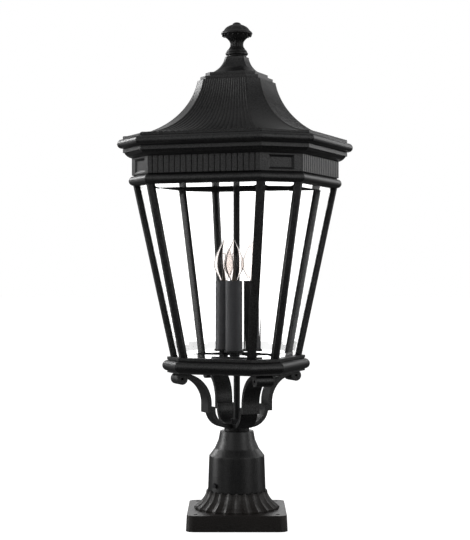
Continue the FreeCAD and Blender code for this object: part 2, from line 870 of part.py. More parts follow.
def finial_waist():
    """Stations of radius and height from the foot in to the waist and out to the head."""
    fall = finial_foot_radius - finial_waist_radius
    flare = finial_flare_radius - finial_waist_radius
    lower = finial_waist_height - finial_foot_height
    upper = finial_head_bottom - finial_waist_height
    low = []
    high = []
    for i in range(finial_stations):
        share = i / finial_stations
        low.append((finial_foot_radius - fall * share, collar_bottom + finial_foot_height + lower * share))
        radius = finial_waist_radius + flare * share ** finial_flare_power
        high.append((radius, collar_bottom + finial_waist_height + upper * share))
    return low + high + [(finial_flare_radius, collar_bottom + finial_head_bottom)]


def finial_dome():
    """Stations of radius and height of the head, from its underside over the rim to the tip."""
    stations = [(finial_flare_radius, collar_bottom + finial_head_bottom)]
    for i in range(finial_stations + 1):
        share = finial_tip_share * i / finial_stations
        radius = finial_rim_radius * (1 - share ** finial_dome_power) ** finial_dome_share
        height = finial_rim_height + (finial_height - finial_rim_height) * share
        stations.append((radius, collar_bottom + height))
    return stations


def cluster_dish():
    """Spun dish on the stem that carries the candle posts."""
    floor = dish_bottom + dish_wall
    rim = dish_bottom + dish_height
    inside = dish_radius - dish_wall
    return turned(
        (stem_radius, dish_bottom), (dish_radius, dish_bottom), (dish_radius, rim),
        (inside, rim), (inside, floor), (stem_radius, floor),
    )


def candle_places():
    places = []
    for i in range(candle_count):
        angle = math.radians(candle_angle + 360.0 * i / candle_count)
        places.append(vec(candle_circle * math.cos(angle), candle_circle * math.sin(angle), 0))
    return places


def drip_cup():
    """Turned cup under a candle, on a foot that stands on the dish."""
    rim = candle_bottom + cup_lip
    low = dish_bottom + dish_wall
    floor = candle_bottom - cup_wall
    inside = cup_radius - cup_wall
    return turned(
        (post_radius, low), (cup_foot_radius, low), (cup_foot_radius, floor), (cup_radius, floor),
        (cup_radius, rim), (inside, rim), (inside, candle_bottom), (post_radius, candle_bottom),
    )


def candle_sleeve():
    return tube(candle_radius, candle_radius - candle_wall, candle_bottom, candle_top)


def socket_post():
    """Threaded tube from the dish to the lamp socket."""
    low = dish_bottom + dish_wall
    return tube(post_radius, post_radius - post_wall, low, candle_top - socket_recess - socket_length)


def lamp_socket():
    """Moulded socket inside the top of the sleeve."""
    top = candle_top - socket_recess
    body = Part.makeCylinder(socket_radius, socket_length, vec(0, 0, top - socket_length))
    bore = Part.makeCylinder(base_radius + base_gap, socket_bore_depth, vec(0, 0, top - socket_bore_depth))
    return body.cut(bore)


def lamp_base():
    """Screw shell of the lamp with its centre contact."""
    top = candle_top - base_recess
    low = top - base_length
    shoulder = low + base_radius / 2
    return turned((0, low), (base_radius / 3, low), (base_radius, shoulder), (base_radius, top), (0, top))


def lamp_glass():
    """Torpedo envelope, closed at the neck by the base."""
    return torpedo(0, 0).cut(torpedo(glass_wall, glass_wall))


def torpedo(wall, lift):
    """Many-sided flame form that swells from its neck and closes at a small tip."""
    z = candle_top - base_recess
    neck = glass_neck_radius - wall
    wide = glass_widest_radius - wall
    low = [(neck, z + lift)]
    high = []
    for i in range(1, glass_stations + 1):
        share = i / glass_stations
        swell = neck + (wide - neck) * math.sin(math.pi / 2 * share)
        low.append((swell, z + lift + (glass_widest_height - lift) * share))
        ahead = glass_tip_share * share
        radius = wide * math.cos(math.pi / 2 * ahead ** glass_taper)
        high.append((radius, z + glass_widest_height + (glass_length - lift - glass_widest_height) * ahead))
    return lobed(low + high, glass_sides, 0)


def lamp_filament():
    """Glass mount with a hairpin of square wire."""
    z = candle_top - base_recess + glass_wall
    top = z + mount_height
    tip = top + filament_height
    stand = Part.makeCone(mount_radius, mount_radius / mount_taper, mount_height, vec(0, 0, z))
    ends = [vec(side * filament_spread, 0, tip) for side in (1, -1)]
    roots = [vec(side * filament_root, 0, top - filament_sink) for side in (1, -1)]
    legs = [bar_between(root, end) for root, end in zip(roots, ends)]
    return stand.fuse(legs + [bar_between(*ends)])


def bar_between(start, end):
    """Square wire between two points of the XZ plane."""
    along = (end - start).normalize()
    side = vec(-along.z, 0, along.x) * filament_radius
    deep = vec(0, filament_radius, 0)
    corners = [side + deep, side - deep, vec() - side - deep, deep - side]
    tail = start - along * filament_radius
    tip = end + along * filament_radius
    return stacked([[tail + c for c in corners], [tip + c for c in corners]])


def build_pier():
    save("pier_plate", pier_plate())
    save("post_stub", post_stub())


def build_stand():
    lantern("post_fitter", post_fitter())
    for i, angle in enumerate(screw_angles()):
        lantern(f"set_screw_{i + 1}", set_screw(angle))
    lantern("bracket_hub", bracket_hub())
    lantern("hub_nut", nut(hub_top + hub_cap_height))
    lantern("fitter_nut", nut(fitter_top - fitter_crown_wall - nut_height))
    lantern("stem_pipe", stem_pipe())
    for i, arm in enumerate(ring_of(scroll_arm(), bracket_count, 45)):
        lantern(f"scroll_arm_{i + 1}", arm)


def build_cage():
    lantern("bottom_ring", bottom_ring())
    for i in range(8):
        lantern(f"cage_bar_{i + 1}", cage_bar(i))
    for i, glass in enumerate(ring_of(pane(True), 4)):
        lantern(f"wide_pane_{i + 1}", glass)
    for i, glass in enumerate(ring_of(pane(False), 4, 45)):
        lantern(f"narrow_pane_{i + 1}", glass)
    lantern("frieze_ring", frieze_ring())


def build_roof():
    lantern("roof_shell", roof_shell())
    lantern("roof_cap", roof_cap())
    lantern("finial_washer", finial_washer())
    lantern("finial", finial())


def build_lamps():
    lantern("cluster_dish", cluster_dish())
    lantern("cluster_nut", nut(dish_bottom + dish_wall))
    for i, place in enumerate(candle_places()):
        lantern(f"drip_cup_{i + 1}", drip_cup().translated(place))
        lantern(f"candle_sleeve_{i + 1}", candle_sleeve().translated(place))
        lantern(f"socket_post_{i + 1}", socket_post().translated(place))
        lantern(f"lamp_socket_{i + 1}", lamp_socket().translated(place))
        lantern(f"lamp_base_{i + 1}", lamp_base().translated(place))
        lantern(f"lamp_glass_{i + 1}", lamp_glass().translated(place))
        lantern(f"lamp_filament_{i + 1}", lamp_filament().translated(place))


os.makedirs("parts", exist_ok=True)
build_pier()
build_stand()
build_cage()
build_roof()
build_lamps()
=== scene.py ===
import json
import math
import bmesh
import bpy
from mathutils import Matrix, Vector


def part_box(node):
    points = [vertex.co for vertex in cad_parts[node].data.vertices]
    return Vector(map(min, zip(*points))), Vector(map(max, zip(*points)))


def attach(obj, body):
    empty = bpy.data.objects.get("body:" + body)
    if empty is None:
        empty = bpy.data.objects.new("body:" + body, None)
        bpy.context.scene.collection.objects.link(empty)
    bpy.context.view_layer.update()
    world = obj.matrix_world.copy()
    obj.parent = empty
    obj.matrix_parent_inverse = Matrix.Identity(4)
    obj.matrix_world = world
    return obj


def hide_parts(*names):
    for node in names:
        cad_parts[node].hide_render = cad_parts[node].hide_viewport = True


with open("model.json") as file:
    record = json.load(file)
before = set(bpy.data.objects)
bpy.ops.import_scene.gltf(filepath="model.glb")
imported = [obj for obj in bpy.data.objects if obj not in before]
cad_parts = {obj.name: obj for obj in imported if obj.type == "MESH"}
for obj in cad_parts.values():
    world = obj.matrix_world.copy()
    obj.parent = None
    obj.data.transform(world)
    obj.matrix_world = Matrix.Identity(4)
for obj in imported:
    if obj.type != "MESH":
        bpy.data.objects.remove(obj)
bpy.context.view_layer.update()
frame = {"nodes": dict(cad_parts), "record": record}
mm = 0.001

lanternYaw = math.radians(-21.1)  # how far the lantern is turned on its post


def colour(hexValue):
    # sRGB hex to the linear values that sockets take
    channels = []
    for i in (1, 3, 5):
        value = int(hexValue[i:i + 2], 16) / 255
        channels.append(value / 12.92 if value <= 0.04045 else ((value + 0.055) / 1.055) ** 2.4)
    return (*channels, 1.0)


def addNode(tree, kind, settings=None, inputs=None):
    # settings are the node's own choices; an input is a value or another node's output
    node = tree.nodes.new(kind)
    for name, value in (settings or {}).items():
        setattr(node, name, value)
    for name, value in (inputs or {}).items():
        if isinstance(value, bpy.types.NodeSocket):
            tree.links.new(value, node.inputs[name])
        else:
            node.inputs[name].default_value = value
    return node


def newMaterial(name):
    material = bpy.data.materials.new(name)
    material.use_nodes = True
    material.node_tree.nodes.clear()
    return material, material.node_tree


def finishMaterial(tree, surface):
    addNode(tree, "ShaderNodeOutputMaterial", None, {"Surface": surface})


def ramp(tree, factor, low, high, lowAt=0.0, highAt=1.0):
    # two-stop colour ramp between two hex colours
    node = addNode(tree, "ShaderNodeValToRGB", None, {"Fac": factor})
    stops = node.color_ramp.elements
    stops[0].position = lowAt
    stops[0].color = colour(low)
    stops[1].position = highAt
    stops[1].color = colour(high)
    return node.outputs["Color"]


def objectPoint(tree):
    return addNode(tree, "ShaderNodeTexCoord").outputs["Object"]


powderCoat = {
    "base": "#101011",
    "worn": "#191919",
    "drift": 60,                   # mm, slow change of colour from base to worn
    "driftSpan": (0.35, 0.75),     # stretch of the drift over which the colour changes
    "grain": 1.5,                  # mm between the coat's pimples; real ones are finer and wouldn't show
    "bump": 0.10,                  # mm, height of the pimples
    "bumpStrength": 0.6,
    "roughness": 0.40,
    "roughSpread": (-0.08, 0.12),  # how far the roughness changes from pimple to pimple
    "roughSpan": (0.35, 0.7),      # stretch of the pimples' pattern over which it does
    "sheen": (0.22, 0.78),         # weakest and strongest reflection of the specks
    "sheenSpan": (0.35, 0.65),
    "edge": 0.5,                   # mm, how far the coat rounds the casting's edges
    "edgeSamples": 4,
    "corner": 5.0,                 # mm, reach of the painted shade that dims the coat's reflection in grooves and inner corners
    "cornerSamples": 6,
    "dust": 1.0,                   # how far the painted shade dims the reflection there
}


def powderCoatedAluminium(name, **changes):
    # cast aluminium, shot-blasted and powder-coated: dark satin with a fine orange-peel
    # that catches light as specks, with painted shade that dims its reflection in grooves and corners
    coat = {**powderCoat, **changes}
    material, tree = newMaterial(name)
    place = objectPoint(tree)
    rounded = addNode(tree, "ShaderNodeBevel", {"samples": coat["edgeSamples"]},
                      {"Radius": coat["edge"] * mm})
    pimples = addNode(tree, "ShaderNodeTexNoise", None,
                      {"Vector": place, "Scale": 1 / (coat["grain"] * mm), "Detail": 3.0, "Roughness": 0.6})
    drift = addNode(tree, "ShaderNodeTexNoise", None,
                    {"Vector": place, "Scale": 1 / (coat["drift"] * mm), "Detail": 2.0})
    tint = ramp(tree, drift.outputs["Fac"], coat["base"], coat["worn"], *coat["driftSpan"])
    specks = addNode(tree, "ShaderNodeMapRange", None,
                     {"Value": pimples.outputs["Fac"],
                      "From Min": coat["roughSpan"][0], "From Max": coat["roughSpan"][1],
                      "To Min": coat["roughness"] + coat["roughSpread"][0],
                      "To Max": coat["roughness"] + coat["roughSpread"][1]})
    sparkle = addNode(tree, "ShaderNodeMapRange", None,
                      {"Value": pimples.outputs["Fac"],
                       "From Min": coat["sheenSpan"][0], "From Max": coat["sheenSpan"][1],
                       "To Min": coat["sheen"][0], "To Max": coat["sheen"][1]})
    # painted shade: ambient occlusion dims the coat's reflection in grooves and inner corners
    cavity = addNode(tree, "ShaderNodeAmbientOcclusion", {"samples": coat["cornerSamples"]},
                     {"Distance": coat["corner"] * mm})
    dust = addNode(tree, "ShaderNodeMapRange", None,
                   {"Value": cavity.outputs["AO"], "To Min": 1 - coat["dust"]})
    # the specks' reflection level, dimmed by the painted shade in the corners
    sheen = addNode(tree, "ShaderNodeMath", {"operation": "MULTIPLY"})
    tree.links.new(sparkle.outputs["Result"], sheen.inputs[0])
    tree.links.new(dust.outputs["Result"], sheen.inputs[1])
    bump = addNode(tree, "ShaderNodeBump", None,
                   {"Height": pimples.outputs["Fac"], "Strength": coat["bumpStrength"],
                    "Distance": coat["bump"] * mm, "Normal": rounded.outputs["Normal"]})
    shader = addNode(tree, "ShaderNodeBsdfPrincipled", None,
                     {"Base Color": tint, "Roughness": specks.outputs["Result"], "IOR": 1.5,
                      "Specular IOR Level": sheen.outputs["Value"], "Normal": bump.outputs["Normal"]})
    finishMaterial(tree, shader.outputs["BSDF"])
    return material


glassSurface = {
    "ior": 1.46,
    "ripple": 45,            # mm from wave to wave
    "rippleHeight": 0.05,    # mm
    "rippleStrength": 0.05,
}


def clearGlass(name, tint):
    # ground plate or blown glass: clear and polished, with a faint ripple in what it mirrors;
    # light passes straight through it without caustics
    material, tree = newMaterial(name)
    place = objectPoint(tree)
    ripple = addNode(tree, "ShaderNodeTexNoise", None,
                     {"Vector": place, "Scale": 1 / (glassSurface["ripple"] * mm), "Detail": 1.0})
    bump = addNode(tree, "ShaderNodeBump", None,
                   {"Height": ripple.outputs["Fac"], "Strength": glassSurface["rippleStrength"],
                    "Distance": glassSurface["rippleHeight"] * mm})
    glass = addNode(tree, "ShaderNodeBsdfPrincipled", None,
                    {"Base Color": colour(tint), "Roughness": 0.0, "IOR": glassSurface["ior"],
                     "Transmission Weight": 1.0, "Normal": bump.outputs["Normal"]})
    path = addNode(tree, "ShaderNodeLightPath")
    clear = addNode(tree, "ShaderNodeBsdfTransparent", None, {"Color": colour(tint)})
    mix = addNode(tree, "ShaderNodeMixShader", None, {"Fac": path.outputs["Is Shadow Ray"]})
    tree.links.new(glass.outputs["BSDF"], mix.inputs[1])
    tree.links.new(clear.outputs["BSDF"], mix.inputs[2])
    finishMaterial(tree, mix.outputs["Shader"])
    return material


smallPart = {
    "mottleSpan": (0.3, 0.7),    # stretch of the mottle over which the colour changes
    "grainHeight": 0.05,         # mm
    "grainStrength": 0.15,
}


def plainFinish(name, base, variant, metallic, roughness, grain):
    # moulded or plated small parts: one colour with a faint mottle and a fine surface grain
    material, tree = newMaterial(name)
    place = objectPoint(tree)
    mottle = addNode(tree, "ShaderNodeTexNoise", None,
                     {"Vector": place, "Scale": 1 / (grain * mm), "Detail": 4.0})
    tint = ramp(tree, mottle.outputs["Fac"], base, variant, *smallPart["mottleSpan"])
    bump = addNode(tree, "ShaderNodeBump", None,
                   {"Height": mottle.outputs["Fac"], "Strength": smallPart["grainStrength"],
                    "Distance": smallPart["grainHeight"] * mm})
    shader = addNode(tree, "ShaderNodeBsdfPrincipled", None,
                     {"Base Color": tint, "Metallic": metallic, "Roughness": roughness,
                      "Normal": bump.outputs["Normal"]})
    finishMaterial(tree, shader.outputs["BSDF"])
    return material


blackCoat = powderCoatedAluminium("PowderCoatedAluminium")

# the cup is turned before it is coated: smoother, with rounder edges and a steadier gloss
cupCoat = powderCoatedAluminium("TurnedCupCoat", roughness=0.36, edge=3.0, bump=0.03, sheen=(0.42, 0.62))

# the mount's coat has weathered to a warmer, browner black; its painted shade in the corners is a little
# weaker
pierCoat = powderCoatedAluminium("PierPowderCoat", base="#1a1715", worn="#231f1c", roughness=0.42, edge=0.6,
                                 bump=0.05, dust=0.8, sheen=(0.3, 0.56))

# plate glass without a tint, and blown glass that greys a little in its depth
paneGlass = clearGlass("BevelledPlateGlass", "#ffffff")
bulbGlass = clearGlass("BlownLampGlass", "#f4f0ee")

# sprayed enamel on the sleeves: dark grey with a wide, soft highlight
sleeveCoat = plainFinish("SatinSleeveEnamel", "#434346", "#49494c", metallic=0.0, roughness=0.5, grain=3.0)

# hot-dipped tube: light grey metal, clouded by its spangle
galvanised = plainFinish("GalvanisedSteel", "#8f9294", "#a6a9ab", metallic=1.0, roughness=0.42, grain=6.0)

# steel blacked in a bath: near black with a dull gleam of metal
blackSteel = plainFinish("BlackedSteel", "#202021", "#2b2b2c", metallic=0.6, roughness=0.4, grain=2.0)

# bright zinc plate: pale metal with a fairly clear gleam
zincSteel = plainFinish("ZincPlatedSteel", "#a0a0a0", "#b4b4b4", metallic=1.0, roughness=0.35, grain=2.0)

# moulded phenolic: black with the soft gloss of a plastic
phenolic = plainFinish("MouldedPhenolic", "#141414", "#1f1f1f", metallic=0.0, roughness=0.35, grain=2.0)

# rolled brass: warm yellow metal with a soft gleam
lampBrass = plainFinish("RolledBrassShell", "#b08d4e", "#c7a566", metallic=1.0, roughness=0.3, grain=2.0)

# drawn tungsten wire: dark grey metal that shows as thin lines in the lamp
tungsten = plainFinish("DrawnTungsten", "#55524e", "#6b6863", metallic=1.0, roughness=0.35, grain=0.8)
print("finishes made")

finishOfSlot = {
    "black_casting": blackCoat, "pier_casting": pierCoat, "post_tube": galvanised, "black_steel": blackSteel,
    "screw_steel": blackSteel, "sleeve": sleeveCoat, "post_steel": zincSteel, "phenolic": phenolic,
    "lamp_cap": lampBrass, "lamp_glass": bulbGlass, "filament": tungsten, "pane_glass": paneGlass,
}
slotOfNode = {part["node"]: part["material_slot"] for part in frame["record"]["subparts"]}
for nodeName, node in frame["nodes"].items():
    finish = cupCoat if nodeName == "post_fitter" else finishOfSlot[slotOfNode[nodeName]]
    for holder in node.material_slots:
        holder.material = finish
    if not node.material_slots:
        node.data.materials.append(finish)
print("finishes on", len(frame["nodes"]), "solids")


weldDistance = 1e-6  # metres
flatShading = 1      # degrees, a sharp angle so small that every face stays flat


def meshPiece(name, vertices, faces, finish, sharpAngle, hollow=False):
    # welds doubled points and shades smooth up to an angle; a hollow piece keeps its faces as they are turned
    mesh = bpy.data.meshes.new(name)
    mesh.from_pydata(vertices, [], faces)
    work = bmesh.new()
    work.from_mesh(mesh)
    bmesh.ops.remove_doubles(work, verts=work.verts, dist=weldDistance)
    if not hollow:
        bmesh.ops.recalc_face_normals(work, faces=work.faces)
    work.to_mesh(mesh)
    work.free()
    mesh.shade_smooth()
    mesh.set_sharp_from_angle(angle=math.radians(sharpAngle))
    mesh.materials.append(finish)
    piece = bpy.data.objects.new(name, mesh)
    bpy.context.scene.collection.objects.link(piece)
    return piece


def smoothLine(points, steps):
    # Catmull-Rom line through stations of radius and height
    line = []
    ends = [points[0]] + points + [points[-1]]
    for a, b, c, d in zip(ends, ends[1:], ends[2:], ends[3:]):
        for i in range(steps):
            t = i / steps
            line.append(tuple(
                0.5 * (2 * q + (r - p) * t + (2 * p - 5 * q + 4 * r - s) * t * t
                       + (3 * q - p - 3 * r + s) * t ** 3)
                for p, q, r, s in zip(a, b, c, d)))
    return line + [points[-1]]


def lathed(stations, sides, swell=None):
    # rings of points round Z for stations of radius and height in mm;
    # swell gives the factor on a radius at an angle and height
    vertices = []
    for radius, height in stations:
        for i in range(sides):
            angle = 2 * math.pi * i / sides
            reach = radius * (swell(angle, height) if swell else 1)
            vertices.append((reach * math.cos(angle) * mm, reach * math.sin(angle) * mm, height * mm))
    faces = []
    for ring in range(len(stations) - 1):
        for i in range(sides):
            j = (i + 1) % sides
            low = ring * sides
            high = low + sides
            faces.append((low + i, low + j, high + j, high + i))
    return vertices, faces


finial = {
    # radius and height over the finial's foot, in mm
    "steps": [(0, 0), (14.8, 0), (16.4, 0.9), (16.9, 2.0), (16.9, 3.6), (16.1, 4.5), (14.9, 4.8), (15.5, 5.5),
              (15.3, 6.8), (14.0, 7.3), (14.2, 8.0), (13.2, 8.9)],
    "waist": [(12.9, 9.0), (11.2, 11.0), (10.0, 13.0), (9.5, 15.6), (9.6, 18.4), (10.4, 21.0), (12.1, 23.6),
              (15.0, 26.2), (18.2, 27.8)],
    "neck": [(19.0, 28.2), (19.6, 28.9), (19.8, 29.8), (21.2, 30.7)],
    "dome": [(22.3, 31.2), (23.3, 32.2), (23.6, 33.3), (23.1, 34.5), (21.9, 35.8), (20.1, 37.1), (18.8, 38.6),
             (16.7, 41.2), (14.2, 43.2), (11.3, 44.8), (8.6, 46.0), (6.9, 46.6)],
    "button": [(6.6, 46.9), (6.1, 47.9), (4.7, 49.1), (2.6, 49.9), (0, 50.25)],
    "smoothed": ("waist", "dome"), "lineSteps": 3, "sides": 192, "sharpAngle": 35,
    # both patterns run from foot to head and fade in and out over some mm; depth is a share of the radius
    "reeds": {"count": 24, "depth": 0.11, "foot": 9.0, "head": 27.8, "fadeIn": 2, "fadeOut": 3},
    "petals": {"count": 12, "depth": 0.05, "foot": 36.5, "head": 46.6, "fadeIn": 2, "fadeOut": 2},
    "evenOut": 0.6,     # near the patterns' mean, so that the mean radius keeps to the outline
    "beads": 18, "beadRadius": 1.6, "beadDistance": 21.0, "beadHeight": 29.9,
    "beadTurn": 14.7,   # degrees
    "beadRings": 6, "beadSides": 10,
    "beadPole": 0.001,  # radius of a bead's ends, which the weld closes
}


def finialPiece():
    # the waist is reeded, the dome chased with petals that end under a small button, beads under its rim
    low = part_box("finial")[0][2] / mm

    def swell(angle, height):
        h = height - low
        for pattern in (finial["reeds"], finial["petals"]):
            if pattern["foot"] < h < pattern["head"]:
                rising = (h - pattern["foot"]) / pattern["fadeIn"]
                falling = (pattern["head"] - h) / pattern["fadeOut"]
                fade = min(1, rising, falling)
                wave = abs(math.sin(pattern["count"] * angle / 2))
                return 1 + pattern["depth"] * (wave - finial["evenOut"]) * fade
        return 1

    stations = []
    for part in ("steps", "waist", "neck", "dome", "button"):
        line = finial[part]
        if part in finial["smoothed"]:
            line = smoothLine(line, finial["lineSteps"])
        stations += [(radius, low + height) for radius, height in line]
    vertices, faces = lathed(stations, finial["sides"], swell)

    radius = finial["beadRadius"]
    turns = [math.pi * k / finial["beadRings"] for k in range(finial["beadRings"] + 1)]
    beadLine = [(radius * math.sin(turn) + finial["beadPole"], -radius * math.cos(turn)) for turn in turns]
    bead, quads = lathed(beadLine, finial["beadSides"])
    distance = finial["beadDistance"]
    height = low + finial["beadHeight"]
    for i in range(finial["beads"]):
        angle = 2 * math.pi * i / finial["beads"] + math.radians(finial["beadTurn"])
        middle = Vector((distance * math.cos(angle), distance * math.sin(angle), height)) * mm
        start = len(vertices)
        vertices += [tuple(Vector(v) + middle) for v in bead]
        faces += [tuple(start + v for v in quad) for quad in quads]
    piece = meshPiece("finial_cast", vertices, faces, blackCoat, finial["sharpAngle"])
    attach(piece, "finial")
    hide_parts("finial")


lampBulb = {
    # radius and height over the glass's foot, in mm
    "outline": [(5.6, 0), (5.9, 2.2), (7.6, 6.5), (10.6, 12.0), (13.4, 17.6), (15.0, 23.0), (15.0, 28.0),
                (13.6, 34.5), (11.2, 41.0), (8.4, 47.2), (5.6, 52.8), (3.3, 57.4), (1.9, 60.6), (1.0, 62.3),
                (0, 62.8)],
    "lineSteps": 3, "sides": 64, "sharpAngle": 60,
    "wall": 0.6,
    "hollowEnd": 0.3,   # radius under which the hollow stops
    "hollowTip": 0.1,   # height of its tip over its last station
}


def lampGlasses():
    # blown torpedo with a drawn tip, hollow
    wall = lampBulb["wall"]
    outside = smoothLine(lampBulb["outline"], lampBulb["lineSteps"])
    inside = []
    for (r0, h0), (r1, h1), (r2, h2) in zip(outside, outside[1:], outside[2:]):
        run = math.hypot(r2 - r0, h2 - h0)
        radius = r1 - wall * (h2 - h0) / run
        height = h1 + wall * (r2 - r0) / run
        if radius > lampBulb["hollowEnd"] and height > wall:
            inside.append((radius, height))
    tip = inside[-1][1] + lampBulb["hollowTip"]
    stations = [(0, 0)] + outside + [(0, tip)] + inside[::-1] + [(0, inside[0][1])]
    blown, faces = lathed(stations, lampBulb["sides"])
    for i in range(1, 4):
        low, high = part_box(f"lamp_glass_{i}")
        x = (low[0] + high[0]) / 2
        y = (low[1] + high[1]) / 2
        vertices = [(x + v[0], y + v[1], low[2] + v[2]) for v in blown]
        piece = meshPiece(f"blown_glass_{i}", vertices, faces, bulbGlass, lampBulb["sharpAngle"], hollow=True)
        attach(piece, f"lamp_{i}")
        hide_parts(f"lamp_glass_{i}")


halfCorner = math.radians(22.5)
cornerGrowth = 2 * math.tan(halfCorner)  # how much an octagon's side grows as it moves out by one


def octagonRing(distance, wide, height):
    # corners of an octagon with four wide sides at a distance, from the front side's right end
    ring = []
    for quarter in range(4):
        turn = Matrix.Rotation(math.radians(90 * quarter), 3, "Z")
        for x, y in ((wide / 2, -distance), (distance, -wide / 2)):
            ring.append(tuple(turn @ Vector((x, y, height))))
    return ring


def ringBand(vertices, faces, rings, sides=range(8)):
    # joins rings of eight corners, on the chosen sides only
    start = len(vertices)
    for ring in rings:
        vertices += ring
    for k in range(len(rings) - 1):
        for side in sides:
            low = start + 8 * k
            high = low + 8
            after = (side + 1) % 8
            faces.append((low + side, low + after, high + after, high + side))


def bulged(start, end, bulge, count):
    # points of an arc from start to end that bulges to the right of its travel
    chord = Vector(end) - Vector(start)
    radius = (chord.length ** 2 / 4 + bulge ** 2) / (2 * bulge)
    right = Vector((chord.y, -chord.x)).normalized()
    middle = (Vector(start) + Vector(end)) / 2 - right * (radius - bulge)
    half = math.asin(chord.length / 2 / radius)
    points = []
    for i in range(count + 1):
        turn = half * (2 * i / count - 1)
        points.append(tuple(middle + right * radius * math.cos(turn)
                            + chord.normalized() * radius * math.sin(turn)))
    return points


def castPiece(name, body, node, vertices, faces, sharpAngle):
    # places a form drawn square to the axes as the lantern stands on its post
    turn = Matrix.Rotation(lanternYaw, 3, "Z")
    vertices = [tuple(turn @ Vector(v) * mm) for v in vertices]
    piece = meshPiece(name, vertices, faces, blackCoat, sharpAngle)
    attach(piece, body)
    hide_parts(node)


roofForm = {
    # the eave's mouldings: distance and height of a wide side, whose width grows from the frieze's
    "friezeDistance": 132.0, "friezeWide": 174.4,
    "ovolo": [(132.0, 545.3), (143.0, 553.6), 1.7],  # start, end and bulge
    "ovoloSteps": 8,
    "fillet": [(145.0, 553.6), (145.0, 559.0), (144.0, 559.0), (144.0, 559.8)],
    "bead": [146.0, 566.7, 6.9],                     # distance and height of its middle, radius
    "beadSteps": 16,
    "upperFillet": [(144.0, 573.6), (144.0, 573.9), (145.0, 573.9), (145.0, 576.8)],
    "inside": [(140.0, 576.0), (140.0, 559.8), (123.5, 548.8), (123.5, 539.3), (127.0, 539.3),
               (127.0, 545.3)],
    # the bell-cast vault: an arc whose middle stands over the foot; it starts an overrun in from there
    # and climbs by the rise up to the cap
    "top": 576.8, "foot": 151.55, "curve": 104.0, "overrun": 6.6, "rise": 86.1,
    "headShare": 0.70,                               # wide side at the head against its flats
    "stations": 28,
    "stemHole": (6, 8),                              # distance and wide side of the hole for the stem
    "wall": 3.0, "ceilingSink": 2.4, "ceilingStations": 12,
    # ribs on the wide vaults: height over the vault, then crown as a share of a rib's width
    "ribs": 20, "ribSeat": 0.2, "ribCrown": 0.16, "ribSteps": 6,
    "sharpAngle": 32,
}


def roofPiece():
    # the solid's bell-cast roof, its arcs and ribs smooth and each rib's end rounded over the eave
    f = roofForm
    middle, bead, radius = f["bead"]
    edge = f["inside"][::-1] + bulged(*f["ovolo"], f["ovoloSteps"]) + f["fillet"]
    turns = [math.pi * k / f["beadSteps"] for k in range(f["beadSteps"] + 1)]
    edge += [(middle + radius * math.sin(turn), bead - radius * math.cos(turn)) for turn in turns]
    edge += f["upperFillet"]

    footDistance = f["foot"] - f["overrun"]
    footWide = f["friezeWide"] + (footDistance - f["friezeDistance"]) * cornerGrowth
    headDistance = f["foot"] - math.sqrt(f["curve"] ** 2 - (f["curve"] - f["rise"]) ** 2)
    headWide = 2 * headDistance * f["headShare"]

    def eaveRing(distance, height):
        wide = f["friezeWide"] + (distance - f["friezeDistance"]) * cornerGrowth
        return octagonRing(distance, wide, height)

    def vaultWide(distance):
        share = (footDistance - distance) / (footDistance - headDistance)
        return footWide + (headWide - footWide) * share

    def arcStations(grow, low, high, count):
        # distance, height and slope along the arc, grown outwards for the ceiling
        reach = f["curve"] + grow
        centre = f["top"] + f["curve"]
        start = math.acos(min((centre - low) / reach, 1))
        end = math.acos((centre - high) / reach)
        angles = [start + (end - start) * i / count for i in range(count + 1)]
        return [(f["foot"] - reach * math.sin(a), centre - reach * math.cos(a), a) for a in angles]

    vertices, faces = [], []
    ringBand(vertices, faces, [eaveRing(*point) for point in edge])
    head = f["top"] + f["rise"]
    start = f["top"] + f["curve"] - math.sqrt(f["curve"] ** 2 - f["overrun"] ** 2)
    outer = arcStations(0, start, head, f["stations"])
    outerRings = [octagonRing(d, vaultWide(d), z) for d, z, _ in outer]
    ringBand(vertices, faces, outerRings, (0, 2, 4, 6))
    ringBand(vertices, faces, [outerRings[-1], octagonRing(*f["stemHole"], head)])
    ceiling = head - f["wall"]
    inner = arcStations(f["wall"], f["top"] - f["ceilingSink"], ceiling, f["ceilingStations"])
    innerRings = [octagonRing(d, vaultWide(d), z) for d, z, _ in inner]
    innerRings = [eaveRing(*f["inside"][0])] + innerRings + [octagonRing(*f["stemHole"], ceiling)]
    ringBand(vertices, faces, innerRings)

    # the first row of ribs lies on the vault, so that each rib closes at its foot
    across = f["ribs"] * f["ribSteps"]
    for quarter in range(4):
        turn = Matrix.Rotation(math.radians(90 * quarter), 3, "Z")
        base = len(vertices)
        for row, (distance, height, angle) in enumerate([outer[0]] + outer):
            wide = vaultWide(distance)
            for i in range(across + 1):
                u = (i % f["ribSteps"]) / f["ribSteps"]
                swell = math.sqrt(max(1 - (2 * u - 1) ** 2, 0)) if row else 0
                lift = f["ribSeat"] * (row > 0) + f["ribCrown"] * wide / f["ribs"] * swell
                spot = Vector((wide * (i / across - 0.5), -(distance + lift * math.sin(angle)),
                               height + lift * math.cos(angle)))
                vertices.append(tuple(turn @ spot))
        for row in range(len(outer)):
            for i in range(across):
                low = base + row * (across + 1) + i
                high = low + across + 1
                faces.append((low, low + 1, high + 1, high))
    castPiece("roof_cast", "roof", "roof_shell", vertices, faces, f["sharpAngle"])


capForm = {
    # distance and height of a wide side
    "steps": [(6, 662.9), (46.0, 662.9), (46.0, 668.4), (39.5, 668.4), (39.5, 674.4)],
    "neck": [(35.5, 674.4), (15.25, 699.9), 4.8],  # foot, head and bulge
    "neckSteps": 14,
    "bore": 6,                                     # distance round the stem, as in the first step
    "wideShare": 1.4,                              # wide side against the distance
    "sharpAngle": 32,
}


